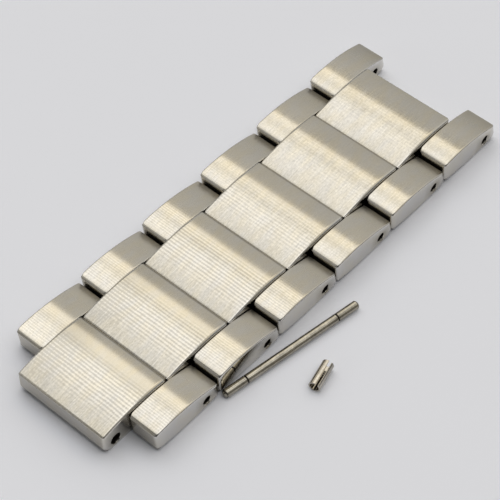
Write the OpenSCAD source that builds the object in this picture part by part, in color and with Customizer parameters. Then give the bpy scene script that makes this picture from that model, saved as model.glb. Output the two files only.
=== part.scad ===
// Six link piece of a steel watch bracelet, with one spare hinge pin and one spare collar beside it.
// Millimetres. X runs across the bracelet, Y along it, Z up from the wearer's side.
// The origin is the middle of the free hinge bore in the first centre link.

/* [Bracelet] */
// Width over both rows of outer links
bracelet_width = 20; // [18:0.1:24]
// Distance from one hinge pin to the next
link_pitch = 9.5; // [9:0.1:11]
// Height of the hinge pins above the flat underside
hinge_height = 1.05; // [0.95:0.05:1.2]
// Gap between faces that pass each other at a hinge
hinge_gap = 0.1; // [0.06:0.01:0.16]
// Gap between the centre row and each outer row
side_gap = 0.1; // [0.06:0.01:0.2]
// Width of the small bevels along the edges
edge_bevel = 0.15; // [0.05:0.01:0.2]

/* [Centre links] */
// Width of a centre link
centre_width = 12.2; // [10:0.1:13]
// Height of a centre link at its crest
centre_thickness = 3.65; // [3.3:0.05:4]
// Radius of the arched top of a centre link
centre_arch = 22; // [16:1:40]
// Distance from the near face of a centre link to its crest
centre_crest = 5.6; // [4.5:0.1:6]
// Distance from the hinge bore to the near face of a centre link
near_reach = 1.75; // [1.6:0.05:1.9]
// Radius of the rounded far edge of a centre link
far_edge_round = 0.7; // [0.4:0.1:1]
// Radius of the upright corners of a centre link
centre_corner = 0.2; // [0.1:0.05:0.3]

/* [Outer links] */
// Height of an outer link at its crest
outer_thickness = 3.3; // [3:0.05:3.6]
// Radius of the arched top of an outer link
outer_arch = 20; // [14:1:28]
// Distance from the near face of an outer link to its crest
outer_crest = 2.5; // [2:0.1:3.4]
// Radius of the arched underside of an outer link
sole_arch = 30; // [24:1:60]
// Distance from the near face of an outer link to the lowest line of its underside
sole_low = 5.2; // [4.6:0.1:6]
// Distance from the pin hole to the far face of an outer link
far_reach = 1.95; // [1.85:0.05:2.05]
// Radius of the rounded lower far edge of an outer link
far_round = 1.1; // [0.8:0.05:1.2]
// Lean of the far face of an outer link above the pin, in degrees
far_lean = 16; // [8:1:20]
// Radius of the upright corners of an outer link
outer_corner = 0.35; // [0.2:0.05:0.5]

/* [Hinge pins] */
// Diameter of a hinge pin
pin_diameter = 1; // [0.9:0.02:1.06]
// Length of a hinge pin over its domed ends
pin_length = 18.5; // [17:0.1:19]
// Radius of the dome on each pin end
pin_dome = 0.6; // [0.55:0.01:0.8]
// Clearance around a pin in the holes of the outer links
pin_clearance = 0.04; // [0.02:0.01:0.06]
// Distance between the two grooves of a pin
groove_spacing = 12.5; // [11:0.1:13.5]
// Width of a pin groove
groove_width = 0.16; // [0.1:0.01:0.3]
// Depth of a pin groove
groove_depth = 0.07; // [0.04:0.01:0.1]
// Diameter of the countersink round a pin hole
countersink_diameter = 1.4; // [1.25:0.05:1.7]
// Depth of that countersink
countersink_depth = 0.12; // [0.06:0.01:0.2]

/* [Collars] */
// Wall of a slit collar
collar_wall = 0.17; // [0.14:0.01:0.18]
// Length of a slit collar
collar_length = 3.3; // [2.5:0.1:4.5]
// Width of the slit along a collar
slit_width = 0.3; // [0.2:0.05:0.4]
// Clearance left inside and outside a seated collar
collar_clearance = 0.01; // [0.005:0.005:0.02]
// Depth of the small chamfer at each mouth of a centre link's bores
mouth_chamfer = 0.07; // [0.04:0.01:0.1]

/* [Cross bars] */
// Diameter of a cross bar
bar_diameter = 1.2; // [1:0.05:1.3]
// Depth of a cross bar in each outer link
bar_bite = 2.3; // [1.6:0.1:2.6]
// Clearance around a pressed cross bar
bar_clearance = 0.01; // [0.005:0.005:0.02]
// Clearance past each end of a cross bar
bar_end_clearance = 0.1; // [0.05:0.01:0.15]
// Distance between the two cross bars of a link
bar_spacing = 2.6; // [2.2:0.1:2.8]
// Height of the cross bars above the hinge pins
bar_rise = 0.5; // [0.3:0.05:0.6]

/* [Loose pieces] */
// Distance of the loose pin's middle from the bracelet's middle line
loose_pin_side = 12; // [11.9:0.05:16]
// Distance of the loose pin's middle along the bracelet
loose_pin_along = 20.5; // [10:0.5:40]
// Turn of the loose pin away from the bracelet's length, in degrees
loose_pin_turn = 9.3; // [0:0.1:9.5]
// Distance of the loose collar's middle from the bracelet's middle line
loose_collar_side = 16.6; // [16.2:0.1:22]
// Distance of the loose collar's middle along the bracelet
loose_collar_along = 19.8; // [10:0.1:40]
// Turn of the loose collar away from the bracelet's length, in degrees
loose_collar_turn = -13.4; // [-20:0.1:5]
// Turn of the loose collar's slit away from straight up, in degrees
loose_slit_turn = 24; // [0:1:90]

/* [Hidden] */
$fn = 180;
past = 1;
floor_height = -hinge_height;
side_run = 3 * centre_thickness;

outer_width = (bracelet_width - centre_width) / 2 - side_gap;
outer_middle = (bracelet_width - outer_width) / 2;
outer_near = far_reach + hinge_gap;
outer_length = link_pitch + far_reach - outer_near;
centre_far = link_pitch - near_reach - hinge_gap;
centre_top = centre_thickness - hinge_height;
outer_top = outer_thickness - hinge_height;

pin_radius = pin_diameter / 2;
pin_hole_radius = pin_radius + pin_clearance;
countersink_radius = countersink_diameter / 2;
collar_inner_radius = pin_radius + collar_clearance;
collar_outer_radius = collar_inner_radius + collar_wall;
bore_radius = collar_outer_radius + collar_clearance;
bar_radius = bar_diameter / 2;
bar_hole_radius = bar_radius + bar_clearance;
bar_length = centre_width + 2 * side_gap + 2 * bar_bite;
bar_middle = (outer_near + centre_far) / 2;

// The near lower edge of a centre link swings past the link before it, inside the near reach.
knuckle_round = hinge_height;
knuckle_back = near_reach - knuckle_round;

// The rounded far edge stands a hair proud of the arch and the far face, so that it meets both.
round_overlap = 0.012;
far_round_along = centre_far - far_edge_round + round_overlap;
far_round_up = arch_height(centre_top, centre_arch - far_edge_round + round_overlap,
    far_round_along + near_reach - centre_crest) - far_edge_round + round_overlap;
near_bevel_up = 1.5 * edge_bevel;
outer_near_top = arch_height(outer_top, outer_arch, outer_crest);
centre_near_top = arch_height(centre_top, centre_arch, centre_crest);

link_colour = [0.78, 0.76, 0.72];
pin_colour = [0.6, 0.58, 0.54];

// Height of an arch of the given radius at a distance from its crest
function arch_height(crest_height, radius, run) = crest_height - radius + sqrt(radius * radius - run * run);

// Turns a shape built along Z so that it lies along X
module across() {
    rotate([0, 90, 0]) children();
}

// Extrudes a side view, drawn as distance along and height, over a width centred on X
module side_view(width) {
    rotate([90, 0, 90])
        translate([0, 0, -width / 2])
            linear_extrude(height = width) children();
}

// A wheel lying along X, whose rim forms an arch with bevelled sides
module arch_wheel(radius, width, bevel) {
    half = width / 2;
    across()
        rotate_extrude()
            polygon([[0, -half], [radius - bevel, -half], [radius, bevel - half],
                [radius, half - bevel], [radius - bevel, half], [0, half]]);
}

// A plan view with rounded corners, from one face along to the other
module rounded_plan(width, from, to, corner) {
    half = width / 2;
    linear_extrude(height = side_run, center = true)
        union() {
            translate([corner - half, from]) square([width - 2 * corner, to - from]);
            translate([-half, from + corner]) square([width, to - from - 2 * corner]);
            for (x = [corner - half, half - corner], y = [from + corner, to - corner])
                translate([x, y]) circle(r = corner);
        }
}

// A bore along X through the given width, with a chamfer at both mouths
module chamfered_bore(radius, width, chamfer) {
    half = width / 2;
    across()
        rotate_extrude()
            polygon([[0, -half - past], [radius + chamfer + past, -half - past], [radius, chamfer - half],
                [radius, half - chamfer], [radius + chamfer + past, half + past], [0, half + past]]);
}

// A pin hole along X through an outer link, countersunk on the outer side
module countersunk_pin_hole() {
    half = outer_width / 2;
    flare = countersink_radius - pin_hole_radius;
    across()
        rotate_extrude()
            polygon([[0, -half - past], [pin_hole_radius, -half - past],
                [pin_hole_radius, half - countersink_depth],
                [countersink_radius, half],
                [countersink_radius + flare, half + countersink_depth], [0, half + countersink_depth]]);
}

// Places a piece at the two cross bars of a link
module at_cross_bars() {
    for (side = [-1, 1])
        translate([0, bar_middle + side * bar_spacing / 2, bar_rise]) children();
}

// Moves a piece to the hinge at the near end of a link
module at_link(step) {
    translate([0, step * link_pitch, 0]) children();
}

// Side view of a centre link: rounded lower near edge, bevelled upper near edge, rounded upper far edge
module centre_side_view() {
    union() {
        polygon([[-knuckle_back, floor_height], [centre_far - edge_bevel, floor_height],
            [centre_far, floor_height + edge_bevel], [centre_far, far_round_up],
            [far_round_along, far_round_up], [far_round_along, side_run],
            [near_bevel_up - near_reach, side_run],
            [near_bevel_up - near_reach, centre_near_top + edge_bevel],
            [-near_reach, centre_near_top - near_bevel_up],
            [-near_reach, 0], [-knuckle_back, 0]]);
        translate([-knuckle_back, 0]) circle(r = knuckle_round);
        translate([far_round_along, far_round_up]) circle(r = far_edge_round);
    }
}

// One wide centre link
module centre_link(step) {
    color(link_colour)
        at_link(step)
            difference() {
                intersection() {
                    side_view(centre_width + past) centre_side_view();
                    rounded_plan(centre_width, -near_reach, centre_far, centre_corner);
                    translate([0, centre_crest - near_reach, centre_top - centre_arch])
                        arch_wheel(centre_arch, centre_width, edge_bevel);
                }
                chamfered_bore(bore_radius, centre_width, mouth_chamfer);
                at_cross_bars() chamfered_bore(bar_hole_radius, centre_width, mouth_chamfer);
            }
}

// Side view of an outer link: upright near face, leaning far face, rounded lower far edge
module outer_side_view() {
    far = link_pitch + far_reach;
    round_along = far - far_round;
    round_up = far_round - hinge_height;
    union() {
        polygon([[outer_near, floor_height - past], [round_along, floor_height - past],
            [round_along, round_up], [far, round_up],
            [far - side_run * tan(far_lean), round_up + side_run],
            [outer_near + near_bevel_up, round_up + side_run],
            [outer_near + near_bevel_up, outer_near_top + edge_bevel],
            [outer_near, outer_near_top - near_bevel_up]]);
        translate([round_along, round_up]) circle(r = far_round);
    }
}

// One narrow outer link, drawn for the right hand row; the inner side has the blind bar holes
module outer_link_shape() {
    difference() {
        intersection() {
            side_view(outer_width + past) outer_side_view();
            rounded_plan(outer_width, outer_near, outer_near + outer_length, outer_corner);
            translate([0, outer_near + outer_crest, outer_top - outer_arch])
                arch_wheel(outer_arch, outer_width, edge_bevel);
            translate([0, outer_near + sole_low, floor_height + sole_arch])
                arch_wheel(sole_arch, outer_width, edge_bevel);
        }
        translate([0, link_pitch, 0]) countersunk_pin_hole();
        at_cross_bars()
            translate([-outer_width / 2 - past, 0, 0])
                across() cylinder(r = bar_hole_radius, h = past + bar_bite + bar_end_clearance);
    }
}

// Outer link of the left hand row
module outer_left(step) {
    color(link_colour)
        at_link(step) translate([-outer_middle, 0, 0]) mirror([1, 0, 0]) outer_link_shape();
}

// Outer link of the right hand row
module outer_right(step) {
    color(link_colour)
        at_link(step) translate([outer_middle, 0, 0]) outer_link_shape();
}

// The two hidden bars that hold a centre link and its outer links together
module cross_bars(step) {
    color(pin_colour)
        at_link(step) at_cross_bars() across() cylinder(r = bar_radius, h = bar_length, center = true);
}

// Outline of one half of a pin, from its axis outward: a straight rod with a domed end and a groove
module half_pin_outline() {
    half = pin_length / 2;
    dome_start = half - pin_dome;
    groove_at = groove_spacing / 2;
    difference() {
        union() {
            square([pin_radius, dome_start + pin_dome / 4]);
            intersection() {
                translate([0, dome_start]) circle(r = pin_dome);
                translate([0, dome_start]) square([pin_radius, pin_dome]);
            }
        }
        translate([pin_radius - groove_depth, groove_at - groove_width / 2])
            square([pin_radius, groove_width]);
    }
}

// A straight pin with domed ends and two grooves, lying along X
module pin_shape() {
    across()
        rotate_extrude()
            union() {
                half_pin_outline();
                mirror([0, 1]) half_pin_outline();
            }
}

// A slit collar lying along X, with its slit turned from straight up towards the near end
module collar_shape(slit_turn) {
    rotate([90 + slit_turn, 0, 0])
        rotate([90, 0, 90])
            linear_extrude(height = collar_length, center = true)
                difference() {
                    circle(r = collar_outer_radius);
                    circle(r = collar_inner_radius);
                    translate([0, -slit_width / 2]) square([collar_outer_radius + past, slit_width]);
                }
}

// Pin of one hinge, through the outer links of one link and the centre link of the next
module hinge_pin(step) {
    color(pin_colour) at_link(step) pin_shape();
}

// Collar that grips a hinge pin inside a centre link
module collar(step) {
    color(pin_colour) at_link(step) collar_shape(0);
}

// The pin that lies on the table beside the bracelet
module loose_pin() {
    color(pin_colour)
        translate([loose_pin_side, loose_pin_along, floor_height + pin_radius])
            rotate([0, 0, 90 - loose_pin_turn]) pin_shape();
}

// The collar that lies on the table beside the pin
module loose_collar() {
    color(pin_colour)
        translate([loose_collar_side, loose_collar_along, floor_height + collar_outer_radius])
            rotate([0, 0, 90 - loose_collar_turn]) collar_shape(loose_slit_turn);
}

centre_link(0);  // centre_link_1
centre_link(1);  // centre_link_2
centre_link(2);  // centre_link_3
centre_link(3);  // centre_link_4
centre_link(4);  // centre_link_5
centre_link(5);  // centre_link_6
outer_left(0);  // outer_left_1
outer_left(1);  // outer_left_2
outer_left(2);  // outer_left_3
outer_left(3);  // outer_left_4
outer_left(4);  // outer_left_5
outer_left(5);  // outer_left_6
outer_right(0);  // outer_right_1
outer_right(1);  // outer_right_2
outer_right(2);  // outer_right_3
outer_right(3);  // outer_right_4
outer_right(4);  // outer_right_5
outer_right(5);  // outer_right_6
cross_bars(0);  // cross_bars_1
cross_bars(1);  // cross_bars_2
cross_bars(2);  // cross_bars_3
cross_bars(3);  // cross_bars_4
cross_bars(4);  // cross_bars_5
cross_bars(5);  // cross_bars_6
hinge_pin(1);  // hinge_pin_1
hinge_pin(2);  // hinge_pin_2
hinge_pin(3);  // hinge_pin_3
hinge_pin(4);  // hinge_pin_4
hinge_pin(5);  // hinge_pin_5
collar(1);  // collar_1
collar(2);  // collar_2
collar(3);  // collar_3
collar(4);  // collar_4
collar(5);  // collar_5
loose_pin();
loose_collar();
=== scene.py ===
"""Looks of a six link piece of steel watch bracelet, with a spare hinge pin and a spare slit collar beside it.

The links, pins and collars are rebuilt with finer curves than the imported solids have, in the same places,
and dressed in brushed, satin and polished steel. Sizes are in millimetres and meshes in metres.
X runs across the bracelet, Y along it and Z up. The origin is the free hinge bore of the first centre link.
In a side view, a complex number holds a distance along and a height.
"""

from __future__ import annotations

import cmath
import logging
import math
from dataclasses import dataclass, field, replace
from enum import Enum
from typing import Any, Callable, Iterable, Sequence, Union

import bmesh
import bpy
from mathutils import Matrix, Vector, geometry

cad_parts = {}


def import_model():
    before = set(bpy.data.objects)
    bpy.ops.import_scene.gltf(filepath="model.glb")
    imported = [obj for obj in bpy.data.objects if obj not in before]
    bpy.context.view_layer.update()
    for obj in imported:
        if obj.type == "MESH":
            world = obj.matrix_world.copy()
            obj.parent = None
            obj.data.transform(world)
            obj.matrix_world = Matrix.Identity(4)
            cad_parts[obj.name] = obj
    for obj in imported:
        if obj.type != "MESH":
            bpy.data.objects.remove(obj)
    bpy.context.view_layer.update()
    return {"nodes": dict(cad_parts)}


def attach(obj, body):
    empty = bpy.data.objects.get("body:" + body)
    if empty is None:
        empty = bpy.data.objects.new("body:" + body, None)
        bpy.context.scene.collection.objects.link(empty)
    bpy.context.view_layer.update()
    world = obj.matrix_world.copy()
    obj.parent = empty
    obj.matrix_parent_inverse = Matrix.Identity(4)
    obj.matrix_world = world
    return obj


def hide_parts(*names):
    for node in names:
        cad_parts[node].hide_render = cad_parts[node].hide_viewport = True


log = logging.getLogger("bracelet")

MM = 0.001
FULL_TURN = 2 * math.pi
LINKS = 6
PITCH = 9.5
TABLE = -1.05
# Painted shade: the near-black colour, and the roughness added to it, where the mesh holds painted shade in holes,
# grooves, along bottom edges and round pin domes.
PAINTED_SHADE_TONE = (0.03, 0.024, 0.02)
PAINTED_SHADE_ROUGHNESS = 0.3
Colour = tuple[float, float, float]
Triple = tuple[float, float, float]
Material = bpy.types.Material
Object = bpy.types.Object


class Zone(Enum):
    """The finish that a part of a link's surface has."""

    BRUSHED = "brushed"
    SATIN = "satin"
    POLISHED = "polished"


class Rim(Enum):
    """The form of the edge beside the flat side of a piece."""

    ROUND = "round"
    BEVEL = "bevel"


def share(value: float, low: float, high: float) -> float:
    """How far a value has come from one bound to the other, from 0 to 1."""
    return min(max((value - low) / (high - low), 0), 1)


def scaled(colour: Colour, factor: float) -> Colour:
    """A colour made darker or lighter by a factor, up to white."""
    return tuple(min(part * factor, 1) for part in colour)


def put(name: str, data: bpy.types.ID) -> Object:
    """Puts a new object with its data in the scene.

    Args:
        name: The object's name.
        data: Its mesh, camera or light.

    Returns:
        The object.
    """
    thing = bpy.data.objects.new(name, data)
    bpy.context.scene.collection.objects.link(thing)
    return thing


def operator(operation: str, turned: bool = False) -> Callable[[Sock, Operand], Sock]:
    """The method of a socket that adds one Math node, with the socket as its second operand if it is turned."""
    return lambda sock, other: sock.math(operation, other, turned=turned)


class Sock:
    """A node's output socket that takes part in Python arithmetic, for values only."""

    __add__ = __radd__ = operator("ADD")
    __mul__ = __rmul__ = operator("MULTIPLY")
    __sub__, __rsub__ = operator("SUBTRACT"), operator("SUBTRACT", turned=True)
    __truediv__, __rtruediv__ = operator("DIVIDE"), operator("DIVIDE", turned=True)

    def __init__(self, bench: Bench, socket: bpy.types.NodeSocket) -> None:
        """Keeps the bench that adds nodes and the socket that carries the value."""
        self.bench = bench
        self.socket = socket

    def math(self, operation: str, *others: Operand, turned: bool = False) -> Sock:
        """Adds one Math node.

        Args:
            operation: The Math node's operation.
            others: The other operands, values or sockets.
            turned: True if this socket is the second operand.

        Returns:
            The node's output.
        """
        operands: list[Operand] = [self, *others]
        if turned:
            operands.reverse()
        return self.bench.add("ShaderNodeMath", {"operation": operation}, dict(enumerate(operands)))

    def ramp(self, low: float, high: float, start: float = 0, end: float = 1) -> Sock:
        """A soft step between two values.

        Args:
            low: The input at which the step starts.
            high: The input at which it ends.
            start: The output below the step.
            end: The output above it.

        Returns:
            The step's output.
        """
        bounds = {"From Min": low, "From Max": high, "To Min": start, "To Max": end}
        return self.bench.add("ShaderNodeMapRange", {"interpolation_type": "SMOOTHSTEP"}, {"Value": self, **bounds})


Operand = Union[Sock, float, int]


class Bench:
    """Adds and links the nodes of one tree."""

    def __init__(self, tree: bpy.types.NodeTree) -> None:
        """Keeps the tree."""
        self.tree = tree

    @classmethod
    def fresh(cls, owner: Material | bpy.types.World) -> Bench:
        """The bench for the emptied tree of a material or a world.

        Args:
            owner: The material or the world.

        Returns:
            The bench.
        """
        owner.use_nodes = True
        owner.node_tree.nodes.clear()
        return cls(owner.node_tree)

    def add(
        self, kind: str, settings: dict[str, Any] | None = None, inputs: dict[Any, Any] | None = None, out: Any = 0
    ) -> Sock:
        """Adds a node, sets it up, and feeds its sockets.

        Args:
            kind: The node's type.
            settings: Its properties, set first; "stops" sets the stops of a colour ramp.
            inputs: Values, sockets or links, by the socket's name or number.
            out: The name or number of the output to return.

        Returns:
            The chosen output.
        """
        node = self.tree.nodes.new(kind)
        for name, value in (settings or {}).items():
            if name == "stops":
                self.set_stops(node.color_ramp, value)
            else:
                setattr(node, name, value)
        for key, value in (inputs or {}).items():
            self.feed(self.pick(node.inputs, key), value)
        return Sock(self, self.pick(node.outputs, out))

    @staticmethod
    def set_stops(ramp: bpy.types.ColorRamp, stops: Sequence[tuple[float, Colour]]) -> None:
        """Sets a colour ramp's stops.

        Args:
            ramp: The ramp, with its first two stops.
            stops: A position and a colour for each stop.
        """
        while len(ramp.elements) < len(stops):
            ramp.elements.new(1)
        for element, (place, colour) in zip(ramp.elements, stops):
            element.position = place
            element.color = (*colour, 1)

    @staticmethod
    def pick(sockets: Iterable[bpy.types.NodeSocket], key: Any) -> bpy.types.NodeSocket:
        """Finds a socket by its number, or by its name among those in use.

        Args:
            sockets: A node's inputs or outputs.
            key: The number or name.

        Returns:
            The socket.
        """
        if isinstance(key, int):
            return sockets[key]
        return next(socket for socket in sockets if socket.name == key and socket.enabled)

    def feed(self, target: bpy.types.NodeSocket, value: Any) -> None:
        """Links or sets an input.

        Args:
            target: The input socket.
            value: A socket to link, or a value to set.
        """
        if isinstance(value, Sock):
            self.tree.links.new(value.socket, target)
        elif isinstance(value, tuple) and target.type == "RGBA" and len(value) == 3:
            target.default_value = (*value, 1)
        else:
            target.default_value = value

    def show(self, shader: Sock, kind: str = "ShaderNodeOutputMaterial") -> None:
        """Ends a shader tree in its output."""
        self.feed(self.tree.nodes.new(kind).inputs["Surface"], shader)

    def blend(self, factor: Operand, first: Any, second: Any, how: str = "MIX") -> Sock:
        """Mixes two colours.

        Args:
            factor: How much of the second.
            first: The colour at 0.
            second: The colour at 1.
            how: The way in which the second goes over the first.

        Returns:
            The mixed colour.
        """
        inputs = {"Factor": factor, "A": first, "B": second}
        return self.add("ShaderNodeMix", {"data_type": "RGBA", "blend_type": how}, inputs, "Result")

    def noise(self, place: Sock, grain: Triple, detail: float = 2) -> Sock:
        """Noise on stretched coordinates.

        Args:
            place: The coordinates, in metres.
            grain: The size of a grain along X, Y and Z, in millimetres.
            detail: The noise's detail.

        Returns:
            The noise, about 0.5 on average.
        """
        counted = self.vectors("MULTIPLY", place, tuple(1 / (size * MM) for size in grain))
        return self.add("ShaderNodeTexNoise", {}, {"Vector": counted, "Scale": 1.0, "Detail": detail})

    def vectors(self, operation: str, first: Sock, second: Sock | Triple) -> Sock:
        """One Vector Math node."""
        return self.add("ShaderNodeVectorMath", {"operation": operation}, {0: first, 1: second})

    def part(self, vector: Sock, axis: str) -> Sock:
        """A vector's part along an axis."""
        return self.add("ShaderNodeSeparateXYZ", {}, {"Vector": vector}, axis)

    def vector(self, **parts: Operand) -> Sock:
        """A vector from its parts along the named axes."""
        return self.add("ShaderNodeCombineXYZ", {}, parts)

    def held(self, name: str) -> Sock:
        """The value that the mesh holds for a material under a name."""
        return self.add("ShaderNodeAttribute", {"attribute_name": name}, out="Fac")

    def relief(self, strength: float, depth: float, height: Sock) -> Sock:
        """The normal of a fine relief of a depth in millimetres."""
        return self.add("ShaderNodeBump", {}, {"Strength": strength, "Distance": depth * MM, "Height": height})


@dataclass(frozen=True)
class Straight:
    """A straight run of an outline, with the solid on its left."""

    start: complex
    end: complex
    zone: Zone
    rim: float
    inner_rim: float | None = None

    @property
    def outward(self) -> complex:
        """The outward normal."""
        along = self.end - self.start
        return along / abs(along) * -1j

    def normal(self, point: complex) -> complex:
        """The outward normal at a point."""
        return self.outward

    def inset(self, depth: float) -> Straight:
        """The same run moved into the solid by a depth."""
        shift = -self.outward * depth
        return replace(self, start=self.start + shift, end=self.end + shift)

    def between(self, first: complex, last: complex) -> list[complex]:
        """The points between two ends of the run: none, because it is straight."""
        return []


@dataclass(frozen=True)
class Arc:
    """A run along a circle, which bulges out of the solid or cuts into it."""

    centre: complex
    radius: float
    zone: Zone
    rim: float
    inner_rim: float | None = None
    steps: int = 24
    bulge: int = 1

    def height(self, along: float, side: int = 1) -> float:
        """The height of the circle's upper or lower side at a distance along."""
        return self.centre.imag + side * math.sqrt(self.radius**2 - (along - self.centre.real) ** 2)

    def normal(self, point: complex) -> complex:
        """The outward normal at a point."""
        spoke = point - self.centre
        return self.bulge * spoke / abs(spoke)

    def inset(self, depth: float) -> Arc:
        """The same run moved into the solid by a depth."""
        return replace(self, radius=self.radius - self.bulge * depth)

    def between(self, first: complex, last: complex) -> list[complex]:
        """Walks along the run.

        Args:
            first: Its first end.
            last: Its last end.

        Returns:
            The points between the ends.
        """
        start = first - self.centre
        sweep = cmath.phase((last - self.centre) / start)
        if sweep * self.bulge < 0:
            sweep += self.bulge * FULL_TURN
        return [self.centre + start * cmath.rect(1, sweep * k / self.steps) for k in range(1, self.steps)]


Run = Union[Straight, Arc]


def crossings(first: Run, second: Run) -> list[complex]:
    """Points where two runs, taken as whole lines or circles, cross.

    Args:
        first: One run.
        second: The other.

    Returns:
        One or two points.
    """
    if isinstance(first, Straight) and isinstance(second, Straight):
        one, two = first.end - first.start, second.end - second.start
        gap = second.start - first.start
        return [first.start + one * (gap.conjugate() * two).imag / (one.conjugate() * two).imag]
    if isinstance(first, Arc) and isinstance(second, Arc):
        gap = second.centre - first.centre
        reach = abs(gap)
        along = (reach**2 + first.radius**2 - second.radius**2) / (2 * reach)
        foot, away = first.centre + gap / reach * along, gap / reach * 1j
        across = math.sqrt(max(first.radius**2 - along**2, 0))
    else:
        line, arc = (first, second) if isinstance(first, Straight) else (second, first)
        away = line.outward * -1j
        foot = ((arc.centre - line.start) / away).real * away + line.start
        across = math.sqrt(max(arc.radius**2 - abs(foot - arc.centre) ** 2, 0))
    return [foot + away * across, foot - away * across]


@dataclass(frozen=True)
class Corner:
    """The rounded corner after a run of an outline. The point tells it from the other crossing of its two runs."""

    near: complex
    radius: float
    steps: int = 4


@dataclass(frozen=True)
class Sample:
    """One point of a sampled outline: its place, its normal, and the runs that it lies between."""

    point: complex
    normal: complex
    before: int
    after: int
    ratio: float

    def mix(self, values: Sequence[float]) -> float:
        """Mixes the values of the two runs."""
        return values[self.before] * (1 - self.ratio) + values[self.after] * self.ratio


@dataclass(frozen=True)
class Outline:
    """A closed side view, anticlockwise, with every corner rounded."""

    runs: tuple[Run, ...]
    corners: tuple[Corner, ...]
    least_round: float = 0.008

    def sample(self, insets: Sequence[float]) -> list[Sample]:
        """Walks round the outline with each run moved into the solid.

        Args:
            insets: The depth for each run.

        Returns:
            The samples, as many for any depths.
        """
        count = len(self.runs)
        inner = [run.inset(depth) for run, depth in zip(self.runs, insets)]
        fillets = []
        for index, corner in enumerate(self.corners):
            after = (index + 1) % count
            radius = max(corner.radius - min(insets[index], insets[after]), self.least_round)
            found = crossings(inner[index].inset(radius), inner[after].inset(radius))
            centre = min(found, key=lambda point: abs(point - corner.near))
            fillets.append((centre, radius, inner[index].normal(centre), inner[after].normal(centre)))
        samples = []
        for index, run in enumerate(inner):
            last_centre, last_radius, _, last_normal = fillets[index - 1]
            centre, radius, normal, next_normal = fillets[index]
            begin, end = last_centre + last_radius * last_normal, centre + radius * normal
            for point in run.between(begin, end):
                samples.append(Sample(point, run.normal(point), index, index, 0))
            turn = cmath.phase(next_normal / normal)
            steps = self.corners[index].steps
            for step in range(steps + 1):
                facing = normal * cmath.rect(1, turn * step / steps)
                samples.append(Sample(centre + radius * facing, facing, index, (index + 1) % count, step / steps))
        return samples


@dataclass(frozen=True)
class RimStep:
    """One ring of an edge of size 1: its depth from the flat side, its inset from the outline, and its slope."""

    depth: float
    inset: float
    slope: float


def rim_steps(rim: Rim) -> list[RimStep]:
    """The rings of an edge, from the outline's surface to the flat side.

    Args:
        rim: The form of the edge; a bevel has its own two edges rounded.

    Returns:
        The rings, as many for any form.
    """
    steepest = (40, 50) if rim is Rim.ROUND else (45, 45)
    slopes = [math.radians(degrees) for degrees in (0, 15, 30, *steepest, 60, 75, 90)]
    if rim is Rim.ROUND:
        return [RimStep(1 - math.sin(slope), 1 - math.cos(slope), slope) for slope in slopes]
    soft = 0.5
    lead = 1 + soft * math.tan(math.pi / 8)
    half = len(slopes) // 2
    first = [RimStep(lead - soft * math.sin(slope), soft * (1 - math.cos(slope)), slope) for slope in slopes[:half]]
    last = [RimStep(soft * (1 - math.sin(slope)), lead - soft * math.cos(slope), slope) for slope in slopes[half:]]
    return first + last


RIMS = {rim: rim_steps(rim) for rim in Rim}


@dataclass
class Shell:
    """Gathers the vertices and faces of one closed solid, with a true normal for each vertex."""

    points: list[Vector] = field(default_factory=list)
    normals: list[Vector] = field(default_factory=list)
    zones: list[Triple] = field(default_factory=list)
    faces: list[tuple[int, ...]] = field(default_factory=list)
    flats: dict[int, list[list[int]]] = field(default_factory=dict)

    def ring(self, points: Sequence[Vector], normals: Sequence[Vector], zones: Sequence[Triple]) -> list[int]:
        """Adds a ring of vertices.

        Args:
            points: Their places, in millimetres.
            normals: Their normals.
            zones: How brushed, how polished and how much painted shade the surface has at each.

        Returns:
            Their numbers.
        """
        first = len(self.points)
        self.points += points
        self.normals += [normal.normalized() for normal in normals]
        self.zones += zones
        return list(range(first, len(self.points)))

    def bridge(self, first: list[int], second: list[int]) -> None:
        """Joins two rings with faces that look outwards.

        Args:
            first: One ring.
            second: The ring on its right.
        """
        for k in range(len(first)):
            after = (k + 1) % len(first)
            self.faces.append((first[k], first[after], second[after], second[k]))

    def mesh(self, name: str) -> bpy.types.Mesh:
        """Makes the mesh, in metres, with its flat sides filled round their holes.

        Args:
            name: The mesh's name.

        Returns:
            The mesh, with its normals kept in the attribute "lay".
        """
        solid = bmesh.new()
        verts = [solid.verts.new(point * MM) for point in self.points]
        for face in self.faces:
            solid.faces.new([verts[k] for k in face])
        for facing, loops in self.flats.items():
            for corners in self.flat_triangles(loops):
                face = solid.faces.new([verts[k] for k in corners])
                face.normal_update()
                if face.normal.x * facing < 0:
                    face.normal_flip()
        mesh = bpy.data.meshes.new(name)
        solid.to_mesh(mesh)
        solid.free()
        lay = mesh.attributes.new("lay", "FLOAT_VECTOR", "POINT")
        lay.data.foreach_set("vector", [part for normal in self.normals for part in normal])
        for label, values in zip(("brushed", "polished", "grime"), zip(*self.zones)):
            mesh.attributes.new(label, "FLOAT", "POINT").data.foreach_set("value", values)
        return mesh

    def flat_triangles(self, loops: list[list[int]]) -> list[tuple[int, ...]]:
        """Fills a flat side between its outer loop and the loops of its holes.

        Args:
            loops: The outer loop first, then the holes.

        Returns:
            The triangles, as vertex numbers.
        """
        numbers = [number for loop in loops for number in loop]
        edges, start = [], 0
        for loop in loops:
            edges += [(start + k, start + (k + 1) % len(loop)) for k in range(len(loop))]
            start += len(loop)
        nearest = 1e-7
        places = [self.points[number].yz for number in numbers]
        corners, _, faces, sources, _, _ = geometry.delaunay_2d_cdt(places, edges, [], 0, nearest)
        outer, *holes = ([complex(*self.points[number].yz) for number in loop] for loop in loops)
        triangles = []
        for face in faces:
            middle = sum((complex(*corners[k]) for k in face), 0j) / 3
            if inside(middle, outer) and not any(inside(middle, hole) for hole in holes):
                triangles.append(tuple(numbers[sources[k][0]] for k in face))
        return triangles


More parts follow.
